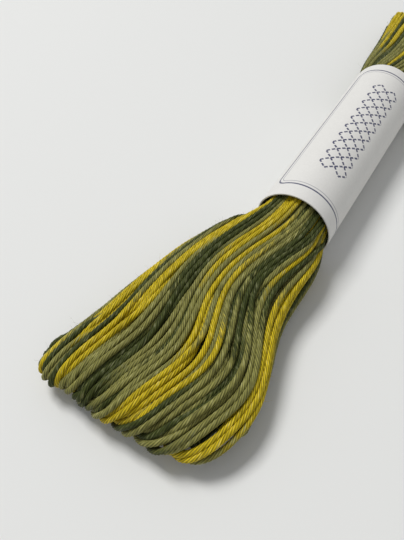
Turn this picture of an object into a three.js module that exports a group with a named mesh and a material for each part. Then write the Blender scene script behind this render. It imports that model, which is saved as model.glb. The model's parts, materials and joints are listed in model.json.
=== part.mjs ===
// Skein of variegated sashiko thread, drawn in at the middle by a plain paper band and lying on a table.
// Millimetres. +X runs along the skein from its near end to its far end, +Y is its left side seen from the
// near end, +Z is up, and the table is z = 0. The origin is on the table, under the middle of the part.
import * as THREE from "three";
import { LoftGeometry } from "three/addons/geometries/LoftGeometry.js";
import { mergeVertices } from "three/addons/utils/BufferGeometryUtils.js";

// Driving dimensions
const BAND_LENGTH = 49;
const BAND_RADIUS = 7.4;
const BAND_AXIS_HEIGHT = 7.2;
const BAND_WALL = 1;
const FIT_GAP = 0.3;
const MOUTH_MARGIN = 0.2;
const MOUTH_SWELL = 1;

// The thread runs in locks side by side, over the top of the skein and back underneath. LOCK_WANDER is how
// far a lock strays, as a share of the way across. LOCK_LIFT raises or lowers each lock's crown, from the
// left side of the skein to the right, as a share of the groove depth.
const LOCKS_ACROSS = 14;
const POINTS_PER_LOCK = 3;
const GROOVE_DEPTH = 0.75;
const LOCK_WANDER = 0.014;
const WANDER_LENGTH = 9;
const WANDER_PHASE = 1.7;
const LOCK_LIFT = [0, 0.5, -0.5, 0.3, -0.6, 0.2, 0.5, -0.3, 0.4, -0.4, 0.5, -0.2, 0.3, -0.1];

// Each loop of thread turns round at a nose, which is rounded from the top of the skein to its underside.
const NOSE_STEPS = 5;
const NOSE_HEIGHT_SHARE = 0.42;
const NOSE_NARROWING = 0.05;
const STATION_SPACING = 3.2;

// A section of a spread end is flattened, and one under the band is round. squareness is 2 for an ellipse and
// more for a boxier section, widest is the height of the widest place as a share of the thickness, and sole
// is how far the rounded underside would reach past the base, which cuts it flat.
const FLATTENED = { squareness: 2.5, widest: 0.44, sole: 1.22 };
const ROUND = { squareness: 2, widest: 0.49, sole: 1.03 };

const THREAD_FINISH = { color: 0x6f7138, roughness: 0.85, metalness: 0 };
const PAPER_FINISH = { color: 0xeceae6, roughness: 0.6, metalness: 0 };

// The skein inside the band, which it fills but for the fitting gap
const mouth = BAND_LENGTH / 2 + MOUTH_MARGIN;
const packedRadius = BAND_RADIUS - BAND_WALL - FIT_GAP;
const packed = {
  left: packedRadius,
  right: packedRadius,
  top: BAND_AXIS_HEIGHT + packedRadius,
  base: BAND_WALL + FIT_GAP,
  groove: 0,
  roundness: 1,
};

// Sections of the skein, from its near end to its far end. along is the place on the X axis, left and right
// are the reach to either side, top and base are heights above the table, groove scales the locks' grooves,
// and roundness is 0 where the skein is flattened and 1 where it is round.
const SECTIONS = [
  { along: -66, left: 24.5, right: 11.8, top: 8.6, base: 0, groove: 1, roundness: 0 },
  { along: -60, left: 22.7, right: 12.7, top: 8.9, base: 0, groove: 1, roundness: 0 },
  { along: -52, left: 20.6, right: 10.2, top: 9.3, base: 0, groove: 1, roundness: 0 },
  { along: -44, left: 18.1, right: 7.8, top: 9.8, base: 0, groove: 1, roundness: 0 },
  { along: -37.5, left: 15.9, right: 7.8, top: 10.5, base: 0, groove: 1, roundness: 0.1 },
  { along: -32, left: 13, right: 9, top: 11.7, base: 0, groove: 0.9, roundness: 0.25 },
  { along: -28, left: 10, right: 8.9, top: 12.9, base: 0.2, groove: 0.8, roundness: 0.6 },
  { along: -(mouth + MOUTH_SWELL), left: 7.4, right: 7.2, top: 13.9, base: 0.5, groove: 0.6, roundness: 0.9 },
  { along: -mouth, ...packed },
  { along: 0, ...packed },
  { along: mouth, ...packed },
  { along: mouth + MOUTH_SWELL, left: 7.2, right: 7.2, top: 13.8, base: 0.5, groove: 0.6, roundness: 0.9 },
  { along: 28.5, left: 8.2, right: 9.3, top: 12.8, base: 0.2, groove: 0.8, roundness: 0.6 },
  { along: 34, left: 9.1, right: 11.8, top: 11.4, base: 0, groove: 0.9, roundness: 0.25 },
  { along: 42, left: 9.7, right: 13.6, top: 10.2, base: 0, groove: 1, roundness: 0 },
  { along: 51, left: 10.4, right: 14.4, top: 9.5, base: 0, groove: 1, roundness: 0 },
  { along: 60, left: 11.4, right: 15.6, top: 9.1, base: 0, groove: 1, roundness: 0 },
  { along: 66, left: 11.9, right: 16.2, top: 8.7, base: 0, groove: 1, roundness: 0 },
];
const NUMBER_COLUMNS = ["left", "right", "top", "base", "groove", "roundness"];

// How far the loops reach past the last section at each end, from the right side of the skein to the left.
const NEAR_REACH = [1.2, 5.6, 6.6, 6.3, 6.1, 6, 6, 5.6];
const FAR_REACH = [4, 5.6, 6.2, 6.4, 6.3, 6, 5.2, 3];

// Value of an evenly spaced list at a share from 0 to 1, eased between its entries.
function valueAlong(list, share) {
  const place = THREE.MathUtils.clamp(share, 0, 1) * (list.length - 1);
  const before = Math.min(Math.floor(place), list.length - 2);
  const ease = THREE.MathUtils.smoothstep(place - before, 0, 1);
  return THREE.MathUtils.lerp(list[before], list[before + 1], ease);
}

// The section at a place along the skein, curved smoothly through the rows of the list and never below z = 0.
const sectionPlaces = SECTIONS.map((row) => row.along);
const sectionValues = SECTIONS.flatMap((row) => NUMBER_COLUMNS.map((column) => row[column]));
const bySpline = new THREE.CubicInterpolant(sectionPlaces, sectionValues, NUMBER_COLUMNS.length);
const byLine = new THREE.LinearInterpolant(sectionPlaces, sectionValues, NUMBER_COLUMNS.length);

function sectionAt(along) {
  const nearBand = Math.abs(along) <= mouth + MOUTH_SWELL;
  const values = (nearBand ? byLine : bySpline).evaluate(along);
  const section = Object.fromEntries(NUMBER_COLUMNS.map((column, place) => [column, values[place]]));
  section.base = Math.max(section.base, 0);
  for (const form of Object.keys(ROUND)) {
    section[form] = THREE.MathUtils.lerp(FLATTENED[form], ROUND[form], section.roundness);
  }
  return section;
}

// Points round a section: over the top from left to right, then back underneath. Both ways pass the same
// shares of the width, because each thread comes back under itself.
const POINTS_OVER = LOCKS_ACROSS * POINTS_PER_LOCK;

function roundedPower(value, squareness) {
  return Math.sign(value) * Math.abs(value) ** (2 / squareness);
}

function lockAt(step) {
  return Math.min(Math.floor(step / POINTS_PER_LOCK), LOCKS_ACROSS - 1);
}

// Height of the locks' relief at a step across the skein: a groove between two locks, or a lock's crown.
function relief(step, section) {
  const inGroove = step % POINTS_PER_LOCK === 0;
  const depth = inGroove ? -GROOVE_DEPTH : LOCK_LIFT[lockAt(step)] * GROOVE_DEPTH;
  return depth * section.groove;
}

function sectionPoint(section, along, step, over, nose) {
  const wander = LOCK_WANDER * Math.sin(along / WANDER_LENGTH + lockAt(step) * WANDER_PHASE) * section.groove;
  const atEdge = step === 0 || step === POINTS_OVER;
  const angle = Math.PI * THREE.MathUtils.clamp(step / POINTS_OVER + (atEdge ? 0 : wander), 0, 1);
  const across = roundedPower(Math.cos(angle), section.squareness);
  const rise = roundedPower(Math.sin(angle), section.squareness);
  const halfWidth = ((section.left + section.right) / 2) * (1 - NOSE_NARROWING * nose.narrow);
  const middle = (section.left - section.right) / 2;
  const sideHeight = section.base + (section.top - section.base) * section.widest;
  const noseHeight = section.base + (section.top - section.base) * NOSE_HEIGHT_SHARE;
  const raised = atEdge ? 0 : relief(step, section);
  const crown = sideHeight + (section.top - sideHeight) * rise + raised * rise;
  const underside = sideHeight - (sideHeight - section.base) * rise * section.sole;
  const height = over ? crown : Math.max(section.base, underside);
  const share = (across + 1) / 2;
  const reach = valueAlong(nose.reach, share) + raised;
  return new THREE.Vector3(
    along + nose.side * reach * nose.out,
    middle + halfWidth * across,
    noseHeight + (height - noseHeight) * nose.thick,
  );
}

function sectionRing(along, nose) {
  const section = sectionAt(along);
  const ring = [];
  for (let step = 0; step <= POINTS_OVER; step++) {
    ring.push(sectionPoint(section, along, step, true, nose));
  }
  for (let step = POINTS_OVER - 1; step > 0; step--) {
    ring.push(sectionPoint(section, along, step, false, nose));
  }
  return ring;
}

// A nose turns from the top of the skein to its underside in a quarter ellipse, and ends in a single line.
function noseTurn(turn, side, reach) {
  const thick = turn === 1 ? 0 : Math.cos((turn * Math.PI) / 2);
  return { side, reach, out: Math.sin((turn * Math.PI) / 2), thick, narrow: 1 - thick };
}

function bodyPlaces() {
  const nearEnd = sectionPlaces[0];
  const farEnd = sectionPlaces[sectionPlaces.length - 1];
  const stretches = [
    [nearEnd, -(mouth + MOUTH_SWELL)],
    [mouth + MOUTH_SWELL, farEnd],
  ].map(([from, to]) => {
    const count = Math.round((to - from) / STATION_SPACING);
    return Array.from({ length: count + 1 }, (_, place) => from + ((to - from) * place) / count);
  });
  return [...stretches[0], -mouth, mouth, ...stretches[1]];
}

function skeinGeometry() {
  const turns = Array.from({ length: NOSE_STEPS }, (_, step) => (step + 1) / NOSE_STEPS);
  const places = bodyPlaces();
  const straight = noseTurn(0, 1, FAR_REACH);
  const rings = [
    ...turns.toReversed().map((turn) => sectionRing(places[0], noseTurn(turn, -1, NEAR_REACH))),
    ...places.map((along) => sectionRing(along, straight)),
    ...turns.map((turn) => sectionRing(places[places.length - 1], noseTurn(turn, 1, FAR_REACH))),
  ];
  const loft = new LoftGeometry(rings);
  const skin = new THREE.BufferGeometry().setAttribute("position", loft.getAttribute("position"));
  return mergeVertices(skin.setIndex(loft.index));
}

// The paper band is a tube round the waist with a flat spot where it lies on the table.
const BAND_CURVE_SEGMENTS = 64;

function flatSpotAngle(radius, flatHeight) {
  return Math.acos((BAND_AXIS_HEIGHT - flatHeight) / radius);
}

function bandOutline(Outline, radius, flatHeight) {
  const half = flatSpotAngle(radius, flatHeight);
  return new Outline().absarc(0, BAND_AXIS_HEIGHT, radius, half - Math.PI / 2, 1.5 * Math.PI - half, false);
}

function bandGeometry() {
  const outside = bandOutline(THREE.Shape, BAND_RADIUS, 0);
  outside.holes.push(bandOutline(THREE.Path, BAND_RADIUS - BAND_WALL, BAND_WALL));
  return new THREE.ExtrudeGeometry(outside, {
    depth: BAND_LENGTH,
    bevelEnabled: false,
    curveSegments: BAND_CURVE_SEGMENTS,
  });
}

const skein = new THREE.Mesh(skeinGeometry(), new THREE.MeshStandardMaterial(THREAD_FINISH));
skein.name = "skein";

const band = new THREE.Mesh(bandGeometry(), new THREE.MeshStandardMaterial(PAPER_FINISH));
band.name = "paper_band";
band.rotation.set(Math.PI / 2, Math.PI / 2, 0);
band.position.x = -BAND_LENGTH / 2;

// Both pieces are moved together so that the origin is under the middle of the whole part.
const part = new THREE.Group();
const pieces = new THREE.Group();
pieces.add(skein, band);
const box = new THREE.Box3().setFromObject(pieces, true);
pieces.position.set(-(box.min.x + box.max.x) / 2, -(box.min.y + box.max.y) / 2, -box.min.z);
part.add(pieces);

export default part;
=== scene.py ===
"""Dresses a skein of sashiko thread: the wound thread, its stray fibres, its paper band and a plain stage.

Metres. +X runs along the skein from its near end to its far end, +Y is its left side seen from the
near end, +Z is up, and the table is z = 0.
"""

import json
import math

import bpy
import numpy as np
from bpy.props import FloatProperty, FloatVectorProperty, IntProperty, PointerProperty
from mathutils import Matrix, Vector
from mathutils.bvhtree import BVHTree

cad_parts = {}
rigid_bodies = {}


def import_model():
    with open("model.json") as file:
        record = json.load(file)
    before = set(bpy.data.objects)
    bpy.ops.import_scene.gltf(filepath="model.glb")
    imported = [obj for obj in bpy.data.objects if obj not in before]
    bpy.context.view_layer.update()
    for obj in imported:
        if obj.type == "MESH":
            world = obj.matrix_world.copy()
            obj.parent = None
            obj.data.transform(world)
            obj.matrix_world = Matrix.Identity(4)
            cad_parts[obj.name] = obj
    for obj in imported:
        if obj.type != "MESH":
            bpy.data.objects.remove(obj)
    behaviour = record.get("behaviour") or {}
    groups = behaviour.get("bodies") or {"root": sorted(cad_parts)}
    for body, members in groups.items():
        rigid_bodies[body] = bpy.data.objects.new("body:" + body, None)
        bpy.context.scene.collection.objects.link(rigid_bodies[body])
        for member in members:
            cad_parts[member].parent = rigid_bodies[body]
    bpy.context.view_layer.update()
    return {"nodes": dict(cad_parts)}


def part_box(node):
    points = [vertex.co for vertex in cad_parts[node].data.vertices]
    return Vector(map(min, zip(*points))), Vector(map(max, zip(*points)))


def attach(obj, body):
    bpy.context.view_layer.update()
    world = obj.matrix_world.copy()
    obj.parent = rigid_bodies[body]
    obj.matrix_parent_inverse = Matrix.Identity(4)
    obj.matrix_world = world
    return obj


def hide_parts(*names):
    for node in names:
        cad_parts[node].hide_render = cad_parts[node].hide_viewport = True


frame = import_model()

bl_info = {
    "name": "Sashiko Thread Skein",
    "version": (1, 0, 0),
    "blender": (4, 5, 0),
    "location": "View3D > Sidebar > Skein",
    "description": "Winds a skein of variegated thread, wraps its paper band and sets a plain stage",
    "category": "Object",
}

MM = 0.001
TINY = 1e-9
BODY = "root"
SKEIN_NODE = "skein"
BAND_NODE = "paper_band"
THREAD_MATERIAL = "dyed_cotton"
MAP_NAME = "OFBake"

skein_low, skein_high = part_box(SKEIN_NODE)
band_low, band_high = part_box(BAND_NODE)
band_middle = (band_low + band_high) / 2
skein_solid = frame["nodes"][SKEIN_NODE].data
BAND_LENGTH = band_high.x - band_low.x
BAND_RADIUS = (band_high.y - band_low.y) / 2
BAND_AXIS_HEIGHT = band_high.z - BAND_RADIUS
BAND_AXIS = (band_middle.y, BAND_AXIS_HEIGHT)


# Settings

LENGTH = {"precision": 5, "subtype": "DISTANCE", "unit": "LENGTH"}
SHARE = {"subtype": "FACTOR"}
ANGLE = {"subtype": "ANGLE"}
COLOUR = {"size": 3, "subtype": "COLOR"}


class ThreadSettings(bpy.types.PropertyGroup):
    """Sizes and dyes of the wound thread."""

    diameter: FloatProperty(
        name="Diameter", description="Thickness of the plied thread",
        default=0.97 * MM, min=0.2 * MM, **LENGTH)
    turns: IntProperty(
        name="Turns", description="How often the thread goes round the skein", default=80, min=8)
    outer_turns: IntProperty(
        name="Outer turns", description="How many of the turns lie in the outer layer", default=50, min=4)
    plies: IntProperty(
        name="Plies", description="Single yarns that are twisted into the thread", default=7, min=2)
    pitch: FloatProperty(
        name="Twist pitch", description="Length of thread in which a ply goes round once",
        default=6.0 * MM, **LENGTH)
    ply_depth: FloatProperty(
        name="Ply depth", description="Depth of the groove between plies as a share of the radius",
        default=0.18, min=0.0, max=0.5, **SHARE)
    wander: FloatProperty(
        name="Wander", description="How far whole locks stray sideways, as a share of the width",
        default=0.03, **SHARE)
    stray: FloatProperty(
        name="Stray", description="How far a single turn strays sideways, as a share of the width",
        default=0.02, **SHARE)
    crinkle: FloatProperty(
        name="Crinkle", description="Small sideways bends of a turn, as a share of the width",
        default=0.007, **SHARE)
    stagger: FloatProperty(
        name="Stagger", description="How much shorter some loops are than others",
        default=0.8 * MM, **LENGTH)
    reach: FloatProperty(
        name="Reach", description="How far the longest loops are laid past the form's ends",
        default=2.4 * MM, **LENGTH)
    lean: FloatProperty(
        name="Lean", description="How far a turn strays left before its near loop, as a share of the width",
        default=0.11, **SHARE)
    slant: FloatProperty(
        name="Slant", description="How much further left a near loop comes back, as a share of the width",
        default=0.32, **SHARE)
    sink: FloatProperty(
        name="Sink", description="How deep some turns sink between others, in thread diameters",
        default=0.24)
    settle_rounds: IntProperty(
        name="Settling rounds", description="Rounds in which the turns push each other into place",
        default=220, min=0)
    bow: FloatProperty(
        name="Bow", description="How far turns bow left between band and near end, as a share of the width",
        default=0.16, **SHARE)
    seed: IntProperty(name="Seed", description="Picks the lie of the turns", default=5)
    dye_start: FloatProperty(
        name="Dye start", description="Place in the dye cycle at which the thread begins, as a share of it",
        default=0.135, **SHARE)
    dye_drift: FloatProperty(
        name="Dye drift", description="How much longer two dye cycles are than a turn",
        default=16.5 * MM, **LENGTH)
    dye_uneven: FloatProperty(
        name="Uneven dye", description="How far the dyes stray along the thread, as a share of the cycle",
        default=0.35, **SHARE)
    dye_seed: IntProperty(name="Dye seed", description="Picks how the dyes stray", default=1349)
    yellow: FloatVectorProperty(
        name="Mustard", description="Yellow dye", default=(0.53, 0.4, 0.008), **COLOUR)
    olive: FloatVectorProperty(
        name="Grey olive", description="Olive dye", default=(0.225, 0.215, 0.056), **COLOUR)
    green: FloatVectorProperty(
        name="Forest green", description="Dark green dye", default=(0.048, 0.059, 0.01), **COLOUR)
    # Pale lint colour, which also stands in for whitish painted highlights on the fibres.
    lint_and_highlight: FloatVectorProperty(
        name="Lint", description="Pale fibres on the thread's surface",
        default=(0.62, 0.6, 0.38), **COLOUR)


class FibreSettings(bpy.types.PropertyGroup):
    """Sizes of the stray fibres."""

    count: IntProperty(name="Fibres", description="Number of stray fibres", default=2600, min=0)
    length: FloatProperty(
        name="Length", description="Usual length of a stray fibre", default=0.8 * MM, **LENGTH)
    thickness: FloatProperty(
        name="Thickness", description="Thickness of a stray fibre", default=0.03 * MM, **LENGTH)
    seed: IntProperty(name="Seed", description="Picks where the fibres grow", default=11)


class BandSettings(bpy.types.PropertyGroup):
    """Sizes and colours of the paper band."""

    paper: FloatProperty(
        name="Paper", description="Thickness of the paper", default=0.22 * MM, **LENGTH)
    lap: FloatProperty(
        name="Lap", description="Overlap at the glued seam", default=8 * MM, **LENGTH)
    line_inset: FloatProperty(
        name="Line inset", description="Distance of the border line from the band's near end",
        default=3.4 * MM, **LENGTH)
    line_width: FloatProperty(
        name="Line width", description="Width of the dark border line", default=0.32 * MM, **LENGTH)
    paper_colour: FloatVectorProperty(
        name="Paper colour", description="Colour of the bare paper", default=(0.75, 0.735, 0.7), **COLOUR)
    ink_colour: FloatVectorProperty(
        name="Ink colour", description="Colour of the dark print", default=(0.018, 0.022, 0.09), **COLOUR)


class StageSettings(bpy.types.PropertyGroup):
    """The camera and the floor."""

    camera_place: FloatVectorProperty(
        name="Camera place", description="Camera, measured from the table under the band's middle",
        default=(-100.0 * MM, -30.1 * MM, 86.5 * MM), size=3, precision=4, subtype="XYZ", unit="LENGTH")
    heading: FloatProperty(
        name="Heading", description="Way the camera looks, counted from +X",
        default=math.radians(34.1), **ANGLE)
    dip: FloatProperty(
        name="Dip", description="How far the camera looks down", default=math.radians(48.5), **ANGLE)
    roll: FloatProperty(
        name="Roll", description="Tilt of the camera to one side", default=math.radians(-4.3), **ANGLE)
    lens: FloatProperty(
        name="Lens", description="Focal length in millimetres", default=40.0, unit="CAMERA")
    floor_colour: FloatVectorProperty(
        name="Floor colour", description="Colour of the table", default=(0.74, 0.74, 0.72), **COLOUR)


# Small helpers

def smooth(share):
    """Eases a share from 0 to 1."""
    held = np.clip(share, 0.0, 1.0)
    return held * held * (3.0 - 2.0 * held)


def unit(vectors):
    """Vectors made one long."""
    return vectors / np.maximum(np.linalg.norm(vectors, axis=-1, keepdims=True), TINY)


def between(table, column, row, along, across):
    """Values between an entry of a table and the next ones, at shares of the way along and across."""
    near = table[column, row] * (1 - across) + table[column, row + 1] * across
    far = table[column + 1, row] * (1 - across) + table[column + 1, row + 1] * across
    return near * (1 - along) + far * along


def slow_noise(rng, places, length):
    """Smooth noise along a line of places, about -1 to 1, with bumps about one length apart."""
    low, high = places.min(), places.max()
    knots = np.arange(low - length, high + 2 * length, length)
    values = rng.uniform(-1, 1, len(knots))
    where = (places - knots[0]) / length
    before = np.floor(where).astype(int)
    blend = smooth(where - before)
    return values[before] * (1 - blend) + values[before + 1] * blend


def walked(line):
    """How long a line is up to each of its points."""
    return np.concatenate(([0], np.cumsum(np.linalg.norm(np.diff(line, axis=0), axis=1))))


def even_line(line, count):
    """A line with so many points, evenly spaced, and the number of the old point next to each."""
    lengths = walked(line)
    marks = np.linspace(0, lengths[-1], count)
    even = np.stack([np.interp(marks, lengths, values) for values in line.T], 1)
    return even, np.minimum(np.searchsorted(lengths, marks), len(line) - 1)


def past_band(places):
    """How far places along X lie past the band's ends. Inside the band it is less than 0."""
    return np.abs(places - band_middle.x) - BAND_LENGTH / 2


def new_mesh_piece(name, points, quads, caps=()):
    """A smooth mesh of quads and end caps, linked into the scene."""
    points = np.asarray(points, np.float32).reshape(-1, 3)
    quads = np.asarray(quads, np.int32).reshape(-1, 4)
    corners = np.concatenate([quads.ravel(), *caps]).astype(np.int32)
    sizes = np.array([4] * len(quads) + [len(cap) for cap in caps], np.int32)
    starts = (np.cumsum(sizes) - sizes).astype(np.int32)
    mesh = bpy.data.meshes.new(name)
    mesh.vertices.add(len(points))
    mesh.vertices.foreach_set("co", points.ravel())
    mesh.loops.add(len(corners))
    mesh.loops.foreach_set("vertex_index", corners)
    mesh.polygons.add(len(sizes))
    mesh.polygons.foreach_set("loop_start", starts)
    mesh.polygons.foreach_set("use_smooth", np.ones(len(sizes), bool))
    mesh.update(calc_edges=True)
    piece = bpy.data.objects.new(name, mesh)
    bpy.context.scene.collection.objects.link(piece)
    return piece


def new_tubes(name, surface):
    """A piece of closed tubes, given their points by tube, ring and side."""
    index = np.arange(surface[..., 0].size).reshape(surface.shape[:3])
    turned = np.roll(index, -1, axis=2)
    quads = np.stack([index[:, :-1], turned[:, :-1], turned[:, 1:], index[:, 1:]], -1)
    return new_mesh_piece(name, surface, quads, [*index[:, 0, ::-1], *index[:, -1]])


def add_values(piece, **values):
    """Numbers for each vertex, which the material reads by their names."""
    for name, numbers in values.items():
        attribute = piece.data.attributes.new(name, "FLOAT", "POINT")
        attribute.data.foreach_set("value", np.asarray(numbers, np.float32))


def add_map(piece, corners):
    """A flat map of the surface, given for each corner of each face."""
    layer = piece.data.uv_layers.new(name=MAP_NAME)
    layer.uv.foreach_set("vector", np.asarray(corners, np.float32).ravel())


def read(items, name, width, kind=np.float32):
    """One property of all items of a mesh, as rows of a width."""
    values = np.zeros(len(items) * width, kind)
    items.foreach_get(name, values)
    return values.reshape(-1, width)


def add_point_map(piece, by_point):
    """A flat map of the surface, given for each vertex."""
    add_map(piece, by_point[read(piece.data.loops, "vertex_index", 1, np.int32)])


# The form that the turns lie in, read from the solid

SHARES = 65
STATIONS = 96
CONTOUR_POINTS = 4 * SHARES
LOOKUP_END = 1.001
END_TRIM = 7.2 * MM
TIP_INSET = 0.03
MOUTH_EASE = 1.2 * MM
ROUND_REACH = 8.0 * MM
FLAT_SQUARENESS = 2.5
ROUND_SQUARENESS = 2.0
WIDEST_SHARE = 0.46
SOLE_SHARE = 1.2
FLOOR_CLEARANCE = 1.13
SQUEEZE = 0.22
SQUEEZE_REACH = 16 * MM


def thickness_at(places):
    """Thickness of the thread as a share of its own: the band squeezes it."""
    return 1 - SQUEEZE * smooth(1 - past_band(places) / SQUEEZE_REACH)


def squareness(places):
    """Power of the curve round the sections at places: they are round at the band and squarer elsewhere."""
    roundness = smooth(1 - past_band(places) / ROUND_REACH)
    return FLAT_SQUARENESS + (ROUND_SQUARENESS - FLAT_SQUARENESS) * roundness


def solid_tree():
    """The skein's solid, ready for finding its surface."""
    points = [tuple(vertex.co) for vertex in skein_solid.vertices]
    return BVHTree.FromPolygons(points, [tuple(face.vertices) for face in skein_solid.polygons])


class SkeinForm:
    """Sections of the skein along X. A share runs from 0 at its right edge to 1 at its left edge."""

    def __init__(self, bore_radius):
        self.bore_radius = bore_radius
        points = np.array([vertex.co for vertex in skein_solid.vertices])
        edges = points[np.array([edge.vertices for edge in skein_solid.edges])]
        self.tree = solid_tree()
        self.places = np.linspace(skein_low.x + END_TRIM, skein_high.x - END_TRIM, STATIONS)
        self.sections = np.array([self.section(edges, place) for place in self.places]).T
        self.right, self.left, self.base, self.top = self.sections
        self.contours = {over: self.contour(over) for over in (True, False)}
        self.near_tips = self.tips(0, 1)
        self.far_tips = self.tips(-1, -1)

    def section(self, edges, place):
        """Right, left, base and top of the section at one place."""
        if past_band(place) < MOUTH_EASE:
            middle, radius = band_middle.y, self.bore_radius
            return middle - radius, middle + radius, BAND_AXIS_HEIGHT - radius, BAND_AXIS_HEIGHT + radius
        start, end = edges[:, 0], edges[:, 1]
        crossing = (start[:, 0] - place) * (end[:, 0] - place) < 0
        share = (place - start[crossing, 0]) / (end[crossing, 0] - start[crossing, 0])
        cut = start[crossing] + share[:, None] * (end[crossing] - start[crossing])
        return cut[:, 1].min(), cut[:, 1].max(), cut[:, 2].min(), cut[:, 2].max()

    def contour(self, over):
        """Even points from the right edge to the left, over or under each section, and their ways in."""
        angles = np.linspace(math.pi, 0, CONTOUR_POINTS)
        points = np.zeros((STATIONS, SHARES, 2))
        for row, place in enumerate(self.places):
            power = 2 / squareness(place)
            across = np.sign(np.cos(angles)) * np.abs(np.cos(angles)) ** power
            rise = np.abs(np.sin(angles)) ** power
            middle = (self.left[row] + self.right[row]) / 2
            half = (self.left[row] - self.right[row]) / 2
            side = self.base[row] + (self.top[row] - self.base[row]) * WIDEST_SHARE
            sole = np.maximum(self.base[row], side - (side - self.base[row]) * rise * SOLE_SHARE)
            height = side + (self.top[row] - side) * rise if over else sole
            points[row] = even_line(np.stack([middle + half * across, height], 1), SHARES)[0]
        way = unit(np.gradient(points, axis=1))
        inward = np.stack([way[..., 1], -way[..., 0]], -1) * (1 if over else -1)
        return points, inward

    def columns(self, places):
        """Places along X, counted in sections."""
        return (places - self.places[0]) / (self.places[1] - self.places[0])

    def lookup(self, table, places, shares):
        """Values of a table of sections at places and shares, blended between its entries."""
        column = np.clip(self.columns(places), 0, STATIONS - LOOKUP_END)
        row = np.clip(shares, 0, 1) * (SHARES - LOOKUP_END)
        whole_column, whole_row = column.astype(int), row.astype(int)
        along, across = (column - whole_column)[:, None], (row - whole_row)[:, None]
        return between(table, whole_column, whole_row, along, across)

    def inside(self, places, shares, over, depth):
        """Points that lie a depth below the skein's surface."""
        surface, inward = (self.lookup(table, places, shares) for table in self.contours[over])
        return np.column_stack([places, surface + unit(inward) * np.reshape(depth, (-1, 1))])

    def tips(self, row, way):
        """How far the solid reaches along X at each share of one end."""
        height = self.base[row] + (self.top[row] - self.base[row]) * WIDEST_SHARE
        edges = self.contours[True][0][row, :, 0]
        reach = []
        for edge in edges:
            across = edge * (1 - TIP_INSET) + edges[SHARES // 2] * TIP_INSET
            hit = self.tree.ray_cast(Vector((-way, across, height)), Vector((way, 0, 0)))[0]
            reach.append(self.places[row] if hit is None else hit.x)
        return np.array(reach)

    def hold(self, points, radius):
        """Moves points into the skein's form and onto the table."""
        column = self.columns(points[:, 0])
        right, left, base, top = (np.interp(column, np.arange(STATIONS), row) for row in self.sections)
        middle, half = (left + right) / 2, np.maximum((left - right) / 2 - radius, radius)
        across = np.clip((points[:, 1] - middle) / half, -1, 1)
        points[:, 1] = middle + half * across
        side = base + (top - base) * WIDEST_SHARE
        power = squareness(points[:, 0])
        rise = (1 - np.abs(across) ** power) ** (1 / power)
        ceiling = np.maximum(side + (top - radius - side) * rise, base + 2 * radius)
        points[:, 2] = np.clip(points[:, 2], radius * FLOOR_CLEARANCE, ceiling)
        held = past_band(points[:, 0]) < MOUTH_EASE
        out = points[held, 1:] - BAND_AXIS
        reach = np.linalg.norm(out, axis=1, keepdims=True)
        limit = self.bore_radius - radius[held, None]
        points[held, 1:] = out * np.minimum(1, limit / np.maximum(reach, TINY)) + BAND_AXIS


# Winding the turns

POINT_SPACING = 1.0 * MM
FEWEST_POINTS = 8
WANDER_LENGTH = 36 * MM
WANDER_SHARE = 0.3
SPARE_KNOTS = 4
CRINKLE_LENGTH = 9 * MM
LAYER_STEP = 0.92
LOCKS = 9
LOCK_BUNCHING = 0.4
LOCK_GROOVE = 0.4
EDGE_SHARE = 0.012
EDGE_LIMIT = 0.004
EDGE_ROOM = 0.15
SHARE_JITTER = 0.006
RETURN_JITTER = 0.02
ORDER_JITTER = 1.6
STAGGER_SHAPE = (1.2, 2.4)
DEEPEST_SINK = 0.9
NOSE_DEPTH = 6.0 * MM
NOSE_POINTS = 18
NOSE_BLUNTNESS = 0.75
NOSE_SWEEP = 1.25
LEAN_LENGTH = 13 * MM
BOW_LENGTH = 34 * MM
EDGE_BOW = 0.35


def lay_turns(settings, rng):
    """Share and layer of each turn in the order of winding: the inner layer is 1, the outer one 0."""
    shares, layers = [], []
    for layer, count in ((1, settings.turns - settings.outer_turns), (0, settings.outer_turns)):
        even = np.linspace(EDGE_SHARE, 1 - EDGE_SHARE, count)
        bunched = even + LOCK_BUNCHING * np.sin(math.tau * LOCKS * even + layer) / (math.tau * LOCKS)
        placed = np.clip(bunched + rng.normal(0, SHARE_JITTER, count), EDGE_LIMIT, 1 - EDGE_LIMIT)
        order = np.argsort(np.arange(count) + rng.normal(0, ORDER_JITTER, count))
        shares.append(placed[order if layer else order[::-1]])
        layers.append(np.full(count, layer))
    return np.concatenate(shares), np.concatenate(layers)


def edge_room(share):
    """How freely a turn may stray: not at all at the skein's edges."""
    return smooth(min(share, 1 - share) / EDGE_ROOM)


def wander_knots(rng):
    """Random values at knots along the skein and across it."""
    columns = int((skein_high.x - skein_low.x) / WANDER_LENGTH) + SPARE_KNOTS
    rows = int(1 / WANDER_SHARE) + SPARE_KNOTS
    return rng.uniform(-1, 1, (columns, rows))


def wander_at(knots, places, share):
    """Smooth noise between the knots, about -1 to 1."""
    column = (places - skein_low.x) / WANDER_LENGTH + 1
    row = share / WANDER_SHARE + 1
    whole_column, whole_row = np.floor(column).astype(int), int(row)
    return between(knots, whole_column, whole_row, smooth(column - whole_column), smooth(row - whole_row))


def nose_line(top, bottom, tip):
    """Points of a loop that turns round a tip from one pass to the next."""
    angles = np.linspace(0, math.pi, NOSE_POINTS + 2)[1:-1]
    middle, half = (top + bottom) / 2, (top - bottom) / 2
    points = top + (bottom - top) * (angles / math.pi)[:, None] ** NOSE_SWEEP
    points[:, 0] += (tip - middle[0]) * np.sin(angles) ** NOSE_BLUNTNESS
    points[:, 2] = middle[2] + half[2] * np.cos(angles)
    return points


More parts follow.
